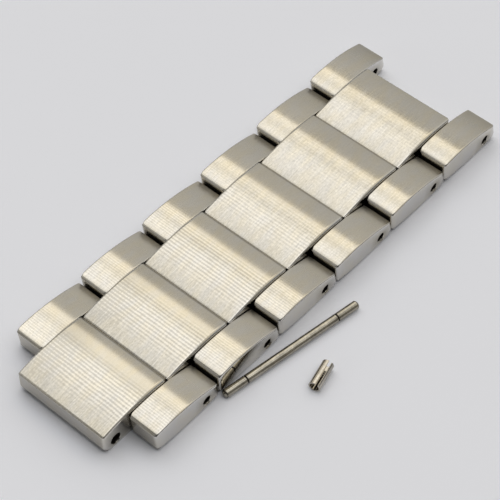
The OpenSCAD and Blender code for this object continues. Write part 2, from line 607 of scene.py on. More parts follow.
def inside(point: complex, loop: Sequence[complex]) -> bool:
    """Tells whether a point lies inside a loop, which then turns once round it."""
    turns = sum(cmath.phase((after - point) / (before - point)) for before, after in zip(loop, [*loop[1:], loop[0]]))
    return abs(turns) > math.pi


@dataclass(frozen=True)
class Hole:
    """A round hole along X. Each mouth has a width and a depth. With a depth of its own, it opens on the left only."""

    centre: complex
    radius: float
    outer_mouth: tuple[float, float] = (0.02, 0.02)
    inner_mouth: tuple[float, float] = (0.02, 0.02)
    depth: float | None = None
    # The wall is left bare for a short depth inside each flat side, then over fade it is painted dark: painted shade
    # in the hole. A blind hole's bottom is painted dark in full.
    clean: float = 0.2
    fade: float = 0.02
    floor_radius: float = 0.98
    floor_drop: float = 0.004
    facets: int = 48

    def ring(
        self, shell: Shell, radius: float, place: float, slope: tuple[float, float] = (1, 0), grime: float = 0.0
    ) -> list[int]:
        """Adds one ring of the hole's wall.

        Args:
            shell: The shell to add to.
            radius: The ring's radius.
            place: Its place along X.
            slope: How far its normal leans towards the axis and along X.
            grime: How much painted shade the wall has there.

        Returns:
            The ring's vertices.
        """
        spokes = [cmath.rect(1, FULL_TURN * k / self.facets) for k in range(self.facets)]
        points = [self.centre + radius * spoke for spoke in spokes]
        return shell.ring(
            [Vector((place, point.real, point.imag)) for point in points],
            [Vector((slope[1], -slope[0] * spoke.real, -slope[0] * spoke.imag)) for spoke in spokes],
            [(0.0, 0.0, grime)] * self.facets,
        )

    def bottom(self, shell: Shell, half: float) -> list[list[int]]:
        """Adds the bottom of a hole that opens on the left.

        Args:
            shell: The shell to add to.
            half: Half of the piece's width.

        Returns:
            The two rings at the bottom's edge.
        """
        deepest = self.depth + self.floor_drop - half
        # The bottom's edge and floor are painted dark in full: painted shade at the end of the hole.
        edge = self.ring(shell, self.radius, self.depth - half, grime=1.0)
        floor = self.ring(shell, self.radius * self.floor_radius, deepest, (0, -1), 1.0)
        place = Vector((deepest, self.centre.real, self.centre.imag))
        middle = shell.ring([place], [Vector((-1, 0, 0))], [(0.0, 0.0, 1.0)])[0]
        shell.faces += [(number, middle, after) for number, after in zip(floor, floor[1:] + floor[:1])]
        return [edge, floor]


@dataclass(frozen=True)
class Prism:
    """An outline carried along X, with rounded edges and round holes."""

    outline: Outline
    width: float
    holes: tuple[Hole, ...] = ()
    polish: tuple[float, float] = (10.0, 40.0)
    # The underside, where the outline faces down more steeply than underside, is painted dark. Its rims are painted
    # dark up to a slope of 45 degrees, fading out by 75 degrees. This is a painted contact shadow along the bottom
    # edges.
    clean: tuple[float, float] = (75.0, 45.0)
    underside: float = -0.7

    def build(self) -> Shell:
        """Builds the solid.

        Returns:
            The closed shell, centred on X.
        """
        shell = Shell()
        rings = [self.outline_ring(shell, side, step) for side, step in self.ring_order()]
        for first, second in zip(rings, rings[1:]):
            shell.bridge(first, second)
        shell.flats = {-1: [rings[0]], 1: [rings[-1]]}
        for hole in self.holes:
            self.cut(shell, hole)
        return shell

    @staticmethod
    def ring_order() -> list[tuple[int, int]]:
        """The side, -1 for the left, and the number of each ring from the left flat to the right flat."""
        count = len(RIMS[Rim.ROUND])
        return [(-1, k) for k in reversed(range(count))] + [(1, k) for k in range(count)]

    def outline_ring(self, shell: Shell, side: int, step: int) -> list[int]:
        """Adds one ring of the outline.

        Args:
            shell: The shell to add to.
            side: -1 for the left side and 1 for the right.
            step: The ring's number in the edge.

        Returns:
            The ring's vertices.
        """
        runs, rim = self.outline.runs, RIMS[Rim.ROUND][step]
        sizes = [run.inner_rim if side < 0 and run.inner_rim is not None else run.rim for run in runs]
        depths = [rim.depth * size for size in sizes]
        brushed, polished = ([run.zone is zone for run in runs] for zone in (Zone.BRUSHED, Zone.POLISHED))
        degrees = math.degrees(rim.slope)
        edge, low = share(degrees, *self.polish), share(degrees, *self.clean)
        points, normals, zones = [], [], []
        for sample in self.outline.sample([rim.inset * size for size in sizes]):
            place = side * (self.width / 2 - sample.mix(depths))
            points.append(Vector((place, sample.point.real, sample.point.imag)))
            facing = Vector((0, sample.normal.real, sample.normal.imag)) * math.cos(rim.slope)
            normals.append(facing + Vector((side * math.sin(rim.slope), 0, 0)))
            # Painted contact shadow on the underside and its lower rims.
            grime = (sample.normal.imag < self.underside) * low
            zones.append((sample.mix(brushed) * (1 - edge), max(sample.mix(polished), edge), grime))
        return shell.ring(points, normals, zones)

    def cut(self, shell: Shell, hole: Hole) -> None:
        """Adds the wall of one hole, and its mouths to the flat sides.

        Args:
            shell: The shell to add to.
            hole: The hole.
        """
        half = self.width / 2
        rings: list[list[int]] = []
        for side, step in self.ring_order():
            if side > 0 and hole.depth is not None:
                break
            rim = RIMS[Rim.BEVEL][step]
            width, depth = hole.outer_mouth if side > 0 else hole.inner_mouth
            slope = (math.cos(rim.slope) / width, side * math.sin(rim.slope) / depth)
            added = [hole.ring(shell, hole.radius + rim.inset * width, side * (half - rim.depth * depth), slope)]
            if step == 0:
                # Past the bare stretch by the mouth, over fade, the wall is painted dark: painted shade in the hole.
                for more, grime in ((0.0, 0.0), (hole.fade, 1.0)):
                    added.append(hole.ring(shell, hole.radius, side * (half - hole.clean - more), grime=grime))
            rings += added[::-side]
        shell.flats[-1].append(rings[0])
        if hole.depth is None:
            shell.flats[1].append(rings[-1])
        else:
            rings += hole.bottom(shell, half)
        for first, second in zip(rings, rings[1:]):
            shell.bridge(second, first)


class Tree:
    """A geometry tree with named inputs, which turns a mesh into a placed and dressed piece."""

    def __init__(self, name: str, **inputs: str) -> None:
        """Makes the tree.

        Args:
            name: Its name.
            inputs: The type of each named input that only this tree has.
        """
        self.tree = bpy.data.node_groups.new(name, "GeometryNodeTree")
        kinds = {"Geometry": "Geometry", **inputs, "Step": "Int", "Pitch": "Float", "Finish": "Material"}
        for label, kind in kinds.items():
            self.tree.interface.new_socket(label, in_out="INPUT", socket_type="NodeSocket" + kind)
        self.tree.interface.new_socket("Geometry", in_out="OUTPUT", socket_type="NodeSocketGeometry")
        self.bench = Bench(self.tree)
        self.source = self.tree.nodes.new("NodeGroupInput")

    def given(self, label: str) -> Sock:
        """The named input of the tree."""
        return Sock(self.bench, Bench.pick(self.source.outputs, label))

    def along(self) -> Sock:
        """How far along the bracelet the piece's link is."""
        return self.given("Step") * self.given("Pitch")

    def read(self, name: str, kind: str) -> Sock:
        """The values that the mesh holds under a name."""
        return self.bench.add("GeometryNodeInputNamedAttribute", {"data_type": kind}, {"Name": name})

    def write(self, shape: Sock, name: str, kind: str, values: Sock) -> Sock:
        """The geometry with values written to its points under a name."""
        inputs = {"Geometry": shape, "Name": name, "Value": values}
        return self.bench.add("GeometryNodeStoreNamedAttribute", {"data_type": kind, "domain": "POINT"}, inputs)

    def moved(self, shape: Sock, **inputs: Any) -> Sock:
        """The geometry moved by one Transform node with the named inputs."""
        return self.bench.add("GeometryNodeTransform", {}, {"Geometry": shape, **inputs})

    def placed(self, shape: Sock) -> Sock:
        """The geometry turned, shifted and put beside its link, by the inputs Turn and Shift."""
        shift = self.bench.vectors("ADD", self.bench.vector(Y=self.along()), self.given("Shift"))
        return self.moved(shape, Rotation=self.given("Turn"), Translation=shift)

    def end(self, shape: Sock) -> None:
        """Ends the tree in Realize Instances and Set Material.

        Args:
            shape: What the tree has made.
        """
        real = self.bench.add("GeometryNodeRealizeInstances", {}, {"Geometry": shape})
        dressed = self.bench.add("GeometryNodeSetMaterial", {}, {"Geometry": real, "Material": self.given("Finish")})
        self.bench.feed(self.tree.nodes.new("NodeGroupOutput").inputs[0], dressed)

    def make(self, name: str, mesh: bpy.types.Mesh, values: dict[str, Any]) -> Object:
        """Runs the tree on a mesh and keeps the result as a plain mesh.

        Args:
            name: The piece's name.
            mesh: The mesh to start from.
            values: A value for each named input.

        Returns:
            The piece, at the origin, with no modifier.
        """
        piece = put(name, mesh)
        modifier = piece.modifiers.new("Place", "NODES")
        modifier.node_group = self.tree
        for item in self.tree.interface.items_tree:
            if item.in_out == "INPUT" and item.name in values:
                modifier[item.identifier] = values[item.name]
        graph = bpy.context.evaluated_depsgraph_get()
        result = bpy.data.meshes.new_from_object(piece.evaluated_get(graph), depsgraph=graph)
        piece.modifiers.remove(modifier)
        piece.data = result
        result.name = name
        self.keep_normals(result)
        return piece

    @staticmethod
    def keep_normals(mesh: bpy.types.Mesh) -> None:
        """Gives a mesh the normals that its attribute "lay" holds, if it has one.

        Args:
            mesh: The finished mesh.
        """
        mesh.polygons.foreach_set("use_smooth", [True] * len(mesh.polygons))
        kept = mesh.attributes.get("lay")
        if kept is not None:
            normals = [Vector(item.vector).normalized() for item in kept.data]
            mesh.attributes.remove(kept)
            mesh.normals_split_custom_set_from_vertices(normals)


class PlacingTree(Tree):
    """Places a piece by its turn and its place along the row."""

    def __init__(self) -> None:
        """Builds the tree: turn, shift, and step along the bracelet."""
        super().__init__("Place by step", Turn="Vector", Shift="Vector")
        lay = {"Vector": self.read("lay", "FLOAT_VECTOR"), "Rotation": self.given("Turn")}
        turned = self.bench.add("ShaderNodeVectorRotate", {"rotation_type": "EULER_XYZ"}, lay)
        self.end(self.placed(self.write(self.given("Geometry"), "lay", "FLOAT_VECTOR", turned)))


class PairTree(Tree):
    """Places one outer link on the right and its mirror image on the left."""

    def __init__(self) -> None:
        """Builds the tree: shift, mirror, join, and step along the bracelet."""
        super().__init__("Pair by step", Middle="Float")
        bench, source, middle = self.bench, self.given("Geometry"), self.given("Middle")
        right = self.moved(source, Translation=bench.vector(X=middle, Y=self.along()))
        mirrored = bench.vectors("MULTIPLY", self.read("lay", "FLOAT_VECTOR"), (-1, 1, 1))
        stored = self.write(source, "lay", "FLOAT_VECTOR", mirrored)
        flipped = bench.add("GeometryNodeFlipFaces", {}, {"Mesh": stored})
        left = self.moved(flipped, Translation=bench.vector(X=middle * -1, Y=self.along()), Scale=(-1, 1, 1))
        joined = bench.add("GeometryNodeJoinGeometry", {}, {"Geometry": left})
        bench.feed(joined.socket.node.inputs[0], right)
        self.end(joined)


class TurningTree(Tree):
    """Turns a half outline round the X axis, then places the turned piece."""

    merging = 0.001
    creasing = 40.0

    def __init__(self) -> None:
        """Builds the tree: a grid laid round the axis along the outline, closed, turned and stepped."""
        super().__init__("Turned rod", Points="Int", Facets="Int", Turn="Vector", Shift="Vector")
        bench, facets = self.bench, self.given("Facets")
        around = facets + 1
        counts = {"Vertices X": self.given("Points"), "Vertices Y": around}
        grid = bench.add("GeometryNodeMeshGrid", {}, {"Size X": 1.0, "Size Y": 1.0, **counts})
        index = bench.add("GeometryNodeInputIndex")
        row = (index / around).math("FLOOR")
        angle = (row * around - index) / facets * FULL_TURN
        half = self.carried(bench.add("GeometryNodeInputPosition"), "FLOAT_VECTOR", row)
        radius = bench.part(half, "Y")
        place = bench.vector(X=bench.part(half, "X"), Y=radius * angle.math("COSINE"), Z=radius * angle.math("SINE"))
        laid = bench.add("GeometryNodeSetPosition", {}, {"Geometry": grid, "Position": place})
        # The painted shade of the half outline is carried round the axis with its points.
        stored = self.write(laid, "grime", "FLOAT", self.carried(self.read("grime", "FLOAT"), "FLOAT", row))
        closed = bench.add("GeometryNodeMergeByDistance", {}, {"Geometry": stored, "Distance": self.merging * MM})
        bend = bench.add("GeometryNodeInputMeshEdgeAngle", out="Unsigned Angle")
        sharp = {"data_type": "FLOAT", "operation": "GREATER_THAN"}
        crease = bench.add("FunctionNodeCompare", sharp, {"A": bend, "B": math.radians(self.creasing)})
        shading = {"Geometry": self.placed(closed), "Selection": crease, "Shade Smooth": False}
        self.end(bench.add("GeometryNodeSetShadeSmooth", {"domain": "EDGE"}, shading))

    def carried(self, values: Sock, kind: str, row: Sock) -> Sock:
        """The values of the half outline's points, taken by row."""
        inputs = {"Geometry": self.given("Geometry"), "Value": values, "Index": row}
        return self.bench.add("GeometryNodeSampleIndex", {"data_type": kind, "domain": "POINT"}, inputs)


@dataclass(frozen=True)
class Steel:
    """A steel finish, painted near-black where the mesh holds painted shade: in holes and grooves, along the bottom
    edges and round the pins' domes.
    """

    name: str
    tone: Colour

    def make(self) -> Material:
        """Builds the material.

        Returns:
            The material, which reads object coordinates and the values that the mesh holds.
        """
        material = bpy.data.materials.new(self.name)
        bench = Bench.fresh(material)
        colour, rough, normal = self.surface(bench, bench.add("ShaderNodeTexCoord", out="Object"))
        # Painted shade: the steel is mixed towards the near-black shade colour where the mesh holds it.
        grime = bench.held("grime")
        inputs = {
            "Base Color": bench.blend(grime, colour, PAINTED_SHADE_TONE),
            "Metallic": 1.0,
            "Roughness": rough + grime * PAINTED_SHADE_ROUGHNESS,
            "Normal": normal,
        }
        bench.show(bench.add("ShaderNodeBsdfPrincipled", {}, inputs))
        return material

    def surface(self, bench: Bench, place: Sock) -> tuple[Sock, Sock, Sock]:
        """The colour, the roughness and the normal of the steel before its painted shade. Each kind of steel has its
        own.
        """
        raise NotImplementedError


@dataclass(frozen=True)
class LinkSteel(Steel):
    """Steel of a link: brushed and faintly lined on top, polished at the edges, satin elsewhere.

    The line and haze bands count from where each top starts; the line fade and the painted shade on the left of the
    first tops count along the whole row.
    """

    bright_tone: Colour
    first: float
    lines: float
    streaks: float
    specks: float
    clouds: float = 0.1
    swing: float = 0.2
    streak_grain: Triple = (0.13, 1.8, 1.8)
    speck_grain: Triple = (0.16, 0.3, 0.3)
    cloud_grain: Triple = (3.0, 3.0, 3.0)
    line_gap: float = 0.4
    line_wander: float = 3
    line_band: tuple[float, float, float, float] = (0.8, 3.2, 5.6, 7.4)
    line_fade: tuple[float, float, float, float] = (24.0, 36.0, 1, 0.2)
    calm_lead: float = 0.6
    calm_least: float = 0.25
    # dull is painted shade: it darkens the left half of the first tops, where less light falls, over left_shade_across
    # and left_shade_along.
    left_shade: float = 0.0
    left_shade_across: tuple[float, float] = (-6.5, 0.0)
    left_shade_along: tuple[float, float] = (8, 28)
    tint_grain: Triple = (1.1, 2.6, 2.6)
    tint_band: tuple[float, float] = (0.3, 0.7)
    tints: tuple[Colour, Colour] = ((1.0, 0.985, 0.93), (0.98, 0.99, 1.0))
    brushed_roughness: float = 0.12
    satin_roughness: float = 0.25
    polished_roughness: float = 0.07
    streak_roughness: float = 0.12
    far_haze: float = 0.0
    haze_band: tuple[float, float] = (6.0, 8.0)
    bump: tuple[float, float] = (0.35, 0.004)
    heights: Triple = (0.5, 0.15, 0.2)

    def surface(self, bench: Bench, place: Sock) -> tuple[Sock, Sock, Sock]:
        """Adds the nodes of the steel before its painted shade.

        Args:
            bench: The bench of the material.
            place: The object coordinates.

        Returns:
            The colour, the roughness and the normal.
        """
        across, along = (bench.part(place, axis) / MM for axis in "XY")
        local = along - ((along - self.first) / PITCH).math("FLOOR") * PITCH - self.first
        brushed, polished = bench.held("brushed"), bench.held("polished")
        streaks = bench.noise(place, self.streak_grain, detail=3)
        grains = (self.speck_grain, self.cloud_grain, self.tint_grain)
        specks, clouds, tints = (bench.noise(place, grain) for grain in grains)
        # The lines are marks of the finish, but band keeps them to the part of each top where the highlight falls, and
        # line_fade thins them along the row. Their placement is partly painted highlight.
        start, full, leave, gone = self.line_band
        wave = (along * (FULL_TURN / self.line_gap) + clouds * self.line_wander).math("SINE")
        band = local.ramp(start, full) * local.ramp(leave, gone, 1, 0)
        lines = wave * band * along.ramp(*self.line_fade) * brushed * self.lines
        calm = brushed * local.ramp(leave - self.calm_lead, gone, 1, self.calm_least)
        shade = ((streaks - 0.5) * self.streaks + (specks - 0.5) * self.specks) * calm
        shade = shade + (clouds - 0.5) * self.clouds + lines
        # Painted shade: the left half of the near tops is darkened.
        shade = shade - across.ramp(*self.left_shade_across, 1, 0) * along.ramp(*self.left_shade_along, 1, 0) * brushed * self.left_shade
        dark, light = (
            bench.blend(polished, scaled(self.tone, factor), scaled(self.bright_tone, factor))
            for factor in (1 - self.swing, 1 + self.swing)
        )
        plain = bench.blend(shade / (2 * self.swing) + 0.5, dark, light)
        tint = bench.blend(tints.ramp(*self.tint_band), *self.tints)
        rough = self.satin_roughness + brushed * (self.brushed_roughness - self.satin_roughness)
        rough = rough - polished * (rough - self.polished_roughness) + (streaks - 0.5) * calm * self.streak_roughness
        rough = rough + brushed * local.ramp(*self.haze_band, 0, self.far_haze)
        streak, speck, cloud = self.heights
        height = streaks * calm * streak + specks * speck * (1 - polished) + clouds * cloud
        return bench.blend(1.0, plain, tint, "MULTIPLY"), rough, bench.relief(*self.bump, height)


@dataclass(frozen=True)
class RodSteel(Steel):
    """Steel of the pins, collars and cross bars: drawn bar with fine marks and patches."""

    roughness: float
    swing: float = 0.45
    contrast: float = 0.9
    mark_grain: Triple = (0.25, 0.25, 0.25)
    patch_grain: Triple = (1.6, 1.6, 1.6)
    mark_roughness: float = 0.2
    patch_roughness: float = 0.15
    bump: tuple[float, float] = (0.4, 0.006)

    def surface(self, bench: Bench, place: Sock) -> tuple[Sock, Sock, Sock]:
        """Adds the nodes of the steel before its painted shade.

        Args:
            bench: The bench of the material.
            place: The object coordinates.

        Returns:
            The colour, the roughness and the normal.
        """
        marks = bench.noise(place, self.mark_grain, detail=3)
        patches = bench.noise(place, self.patch_grain)
        shade = (marks - 0.5) * self.contrast + (patches - 0.5) * self.contrast + 0.5
        colour = bench.blend(shade, scaled(self.tone, 1 - self.swing), scaled(self.tone, 1 + self.swing))
        rough = (marks - 0.5) * self.mark_roughness + (patches - 0.5) * self.patch_roughness + self.roughness
        return colour, rough, bench.relief(*self.bump, marks)


@dataclass(frozen=True)
class CrossBarPlaces:
    """Where the two cross bars of a link lie."""

    middle: float = 4.85
    spacing: float = 2.6
    rise: float = 0.5
    hole_radius: float = 0.61

    def centres(self) -> list[complex]:
        """The two places in the side view."""
        return [complex(self.middle + side * self.spacing / 2, self.rise) for side in (-1, 1)]


@dataclass(frozen=True)
class CentreLink:
    """One wide centre link, drawn from its own near hinge."""

    width: float = 12.25
    floor: float = TABLE
    near: float = -1.75
    far: float = 7.68
    crest: complex = 3.85 + 2.599j
    arch: float = 22.0
    knuckle: float = 1.05
    far_edge: float = 0.55
    near_edge: float = 0.1
    near_facet: complex = 0.2 + 0.07j
    near_slope: float = 0.25
    near_roll: float = 1.2
    far_bevel: float = 0.15
    bevel_edge: float = 0.06
    rim: float = 0.36
    sole_rim: float = 0.06
    bevel_rim: float = 0.3
    corner: float = 0.4
    bore: float = 0.69
    mouth: tuple[float, float] = (0.07, 0.07)
    bars: CrossBarPlaces = CrossBarPlaces()

    def outline(self) -> Outline:
        """Draws the side view.

        Returns:
            The outline, from the underside on.
        """
        top = Arc(self.crest - 1j * self.arch, self.arch, Zone.BRUSHED, self.rim, steps=40)
        low_near, low_far = complex(self.near, self.floor), complex(self.far, self.floor)
        far_top = complex(self.far, top.height(self.far))
        ahead = self.near_facet.real
        facet_top = complex(self.near + ahead, top.height(self.near) + ahead * self.near_slope)
        facet_low = facet_top - self.near_facet
        bevel_low, bevel_high = low_far - self.far_bevel, low_far + 1j * self.far_bevel
        runs = (
            Straight(low_near, low_far, Zone.SATIN, self.sole_rim),
            Straight(bevel_low, bevel_high, Zone.SATIN, self.bevel_rim),
            Straight(low_far, far_top, Zone.SATIN, self.corner),
            top,
            Straight(facet_top, facet_low, Zone.BRUSHED, self.corner),
            Straight(facet_low, low_near, Zone.SATIN, self.corner),
        )
        corners = (
            Corner(bevel_low, self.bevel_edge),
            Corner(bevel_high, self.bevel_edge),
            Corner(far_top, self.far_edge, steps=10),
            Corner(facet_top, self.near_roll, steps=8),
            Corner(facet_low, self.near_edge, steps=6),
            Corner(low_near, self.knuckle, steps=12),
        )
        return Outline(runs, corners)

    def build(self, tree: PlacingTree, finish: Material, number: int) -> Object:
        """Makes the link, puts it in its place and lets it ride.

        Args:
            tree: The placing tree.
            finish: The link's steel.
            number: The link's number, from 1.

        Returns:
            The piece.
        """
        holes = [Hole(0j, self.bore, self.mouth, self.mouth)]
        holes += [Hole(place, self.bars.hole_radius, self.mouth, self.mouth) for place in self.bars.centres()]
        mesh = Prism(self.outline(), self.width, tuple(holes)).build().mesh("centre link")
        values = {"Step": number - 1, "Pitch": PITCH * MM, "Finish": finish}
        piece = tree.make(f"centre_link_{number}_steel", mesh, values)
        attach(piece, f"link_{number}")
        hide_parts(f"centre_link_{number}")
        return piece


@dataclass(frozen=True)
class OuterLinks:
    """The two narrow outer links of one link, drawn from the link's own near hinge."""

    width: float = 3.83
    middle: float = 8.0845
    floor: float = TABLE
    near: float = 2.05
    far: float = 11.45
    crest: complex = 4.55 + 2.25j
    arch: float = 20.0
    sole_low: float = 7.25
    sole_arch: float = 30.0
    far_round: float = 1.1
    far_lean: float = 16.0
    face_height: float = 2.0
    sole_edge: float = 0.1
    face_roll: float = 0.5
    far_edge: float = 0.2
    near_lean: float = 0.25
    near_edge: float = 0.12
    near_foot: float = 0.12
    near_facet: complex = 0.28 + 0.17j
    near_slope: float = 0.12
    near_roll: float = 1.2
    rims: tuple[float, float] = (0.22, 0.12)
    facet_rims: tuple[float, float] = (0.45, 0.4)
    sole_rim: float = 0.2
    round_rim: float = 0.36
    corner: float = 0.5
    far_corner: float = 0.46
    pin_hole: complex = 9.5 + 0j
    pin_hole_radius: float = 0.54
    countersink: float = 0.7
    countersink_depth: float = 0.12
    bar_hole_depth: float = 2.4
    bars: CrossBarPlaces = CrossBarPlaces()

    def outline(self) -> Outline:
        """Draws the side view.

        Returns:
            The outline, from the underside on.
        """
        sole = Arc(complex(self.sole_low, self.floor + self.sole_arch), self.sole_arch, Zone.SATIN, self.sole_rim)
        heel_centre = complex(self.far - self.far_round, self.floor + self.far_round)
        heel = Arc(heel_centre, self.far_round, Zone.SATIN, self.round_rim, steps=12)
        widest = heel_centre + self.far_round
        face_top = widest + self.face_height * (1j - math.tan(math.radians(self.far_lean)))
        top = Arc(self.crest - 1j * self.arch, self.arch, Zone.BRUSHED, *self.rims, steps=36)
        near_top, ahead = self.near - self.near_lean, self.near_facet.real
        facet_top = complex(near_top + ahead, top.height(near_top) + ahead * self.near_slope)
        facet_low = facet_top - self.near_facet
        near_low = complex(self.near, sole.height(self.near, -1))
        runs = (
            sole,
            heel,
            Straight(widest, face_top, Zone.SATIN, self.far_corner),
            top,
            Straight(facet_top, facet_low, Zone.BRUSHED, *self.facet_rims),
            Straight(complex(near_top, facet_low.imag), near_low, Zone.SATIN, self.corner),
        )
        corners = (
            Corner(widest, self.sole_edge),
            Corner(widest, self.face_roll, steps=10),
            Corner(face_top, self.far_edge, steps=6),
            Corner(facet_top, self.near_roll, steps=8),
            Corner(facet_low, self.near_edge, steps=6),
            Corner(near_low, self.near_foot),
        )
        return Outline(runs, corners)

    def build(self, tree: PairTree, finish: Material, number: int) -> Object:
        """Makes both outer links, puts them in their places and lets them ride.

        Args:
            tree: The pairing tree.
            finish: The links' steel.
            number: The link's number, from 1.

        Returns:
            The piece.
        """
        mouth = (self.countersink - self.pin_hole_radius, self.countersink_depth)
        holes = [Hole(self.pin_hole, self.pin_hole_radius, mouth)]
        holes += [Hole(place, self.bars.hole_radius, depth=self.bar_hole_depth) for place in self.bars.centres()]
        mesh = Prism(self.outline(), self.width, tuple(holes)).build().mesh("outer link")
        values = {"Middle": self.middle * MM, "Step": number - 1, "Pitch": PITCH * MM, "Finish": finish}
        piece = tree.make(f"outer_links_{number}_steel", mesh, values)
        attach(piece, f"link_{number}")
        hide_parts(f"outer_left_{number}", f"outer_right_{number}")
        return piece


@dataclass(frozen=True)
class Berth:
    """Where a pin or a collar goes: its solid, its body, the links before it, its place and its turn in degrees."""

    node: str
    body: str
    step: int = 0
    place: Triple = (0.0, 0.0, 0.0)
    turn: Triple = (0.0, 0.0, 0.0)

    def values(self, finish: Material) -> dict[str, Any]:
        """Sets out what the placing tree needs.

        Args:
            finish: The piece's steel.

        Returns:
            A value for each named input.
        """
        turn = Vector([math.radians(angle) for angle in self.turn])
        place = {"Step": self.step, "Pitch": PITCH * MM, "Shift": Vector(self.place) * MM, "Turn": turn}
        return {**place, "Finish": finish}


@dataclass(frozen=True)
class GroovedPin:
    """A hinge pin with domed ends and two turned grooves, lying along X."""

    length: float = 18.5
    radius: float = 0.5
    dome: float = 0.6
    dome_steps: int = 8
    dome_band: float = 0.05
    groove_spacing: float = 12.5
    groove_width: float = 0.16
    groove_depth: float = 0.07
    groove_edge: float = 0.02
    groove_lean: float = 0.005
    facets: int = 64
    # Painted shade: end_shade darkens a whole dome, and dome_rim_shade paints a dark ring where each dome meets the
    # shank. The groove walls are painted dark by groove_wall_shade, and the groove floors in full.
    end_shade: float = 0.0
    dome_rim_shade: float = 0.6
    groove_wall_shade: float = 0.9

    def half_outline(self) -> list[Triple]:
        """Draws half of the pin's side view.

        Returns:
            Distance along, radius and painted shade, from the left end to the right end.
        """
        start = self.length / 2 - self.dome
        bend = math.asin(self.radius / self.dome)
        right = []
        for k in range(self.dome_steps + 1):
            turn = bend * k / self.dome_steps
            # Painted shade: a dark ring at the dome's edge, and the whole dome where end_shade is set.
            grime = max(self.end_shade, self.dome_rim_shade * (k > self.dome_steps - 2))
            right.append((start + self.dome * math.cos(turn), self.dome * math.sin(turn), grime))
        right.append((start + self.dome * math.cos(bend) - self.dome_band, self.radius, 0.0))
        edge, middle = self.groove_width / 2, self.groove_spacing / 2
        # The groove's walls and floor are painted dark: painted shade in the groove.
        wall = (
            (edge + self.groove_edge, self.radius, 0.0),
            (edge, self.radius - self.groove_edge, self.groove_wall_shade),
            (edge - self.groove_lean, self.radius - self.groove_depth, 1.0),
        )
        right += [(middle + x, radius, grime) for x, radius, grime in wall]
        right += [(middle - x, radius, grime) for x, radius, grime in reversed(wall)]
        return [(-x, radius, grime) for x, radius, grime in right] + right[::-1]

    def build(self, tree: TurningTree, finish: Material, berth: Berth) -> Object:
        """Turns the pin, puts it in its place and lets it ride.

        Args:
            tree: The turning tree.
            finish: The pin's steel.
            berth: Where it goes.

        Returns:
            The piece.
        """
        points = self.half_outline()
        mesh = bpy.data.meshes.new("pin outline")
        mesh.from_pydata([(x * MM, r * MM, 0) for x, r, _ in points], [(k, k + 1) for k in range(len(points) - 1)], [])
        mesh.attributes.new("grime", "FLOAT", "POINT").data.foreach_set("value", [grime for _, _, grime in points])
        values = {"Points": len(points), "Facets": self.facets, **berth.values(finish)}
        piece = tree.make(f"{berth.node}_steel", mesh, values)
        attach(piece, berth.body)
        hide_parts(berth.node)
        return piece


@dataclass(frozen=True)
class SlitCollar:
    """A slit collar lying along X, with its slit up."""

    length: float = 3.3
    inner: float = 0.51
    outer: float = 0.68
    slit: float = 0.3
    rim: float = 0.025
    edge: float = 0.04

    def outline(self) -> Outline:
        """Draws the section: outer wall, slit face, inner wall, slit face.

        Returns:
            The outline, anticlockwise from the left of the slit.
        """
        half = self.slit / 2
        high, low = (math.sqrt(radius**2 - half**2) for radius in (self.outer, self.inner))
        places = (complex(half, high), complex(half, low), complex(-half, low), complex(-half, high))
        runs = (
            Arc(0j, self.outer, Zone.POLISHED, self.rim, steps=64),
            Straight(places[0], places[1], Zone.SATIN, self.rim),
            Arc(0j, self.inner, Zone.SATIN, self.rim, steps=48, bulge=-1),
            Straight(places[2], places[3], Zone.SATIN, self.rim),
        )
        return Outline(runs, tuple(Corner(place, self.edge) for place in places))

    def build(self, tree: PlacingTree, finish: Material, berth: Berth) -> Object:
        """Makes the collar, puts it in its place and lets it ride.

        Args:
            tree: The placing tree.
            finish: The collar's steel.
            berth: Where it goes.

        Returns:
            The piece.
        """
        mesh = Prism(self.outline(), self.length).build().mesh("collar")
        piece = tree.make(f"{berth.node}_steel", mesh, berth.values(finish))
        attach(piece, berth.body)
        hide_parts(berth.node)
        return piece


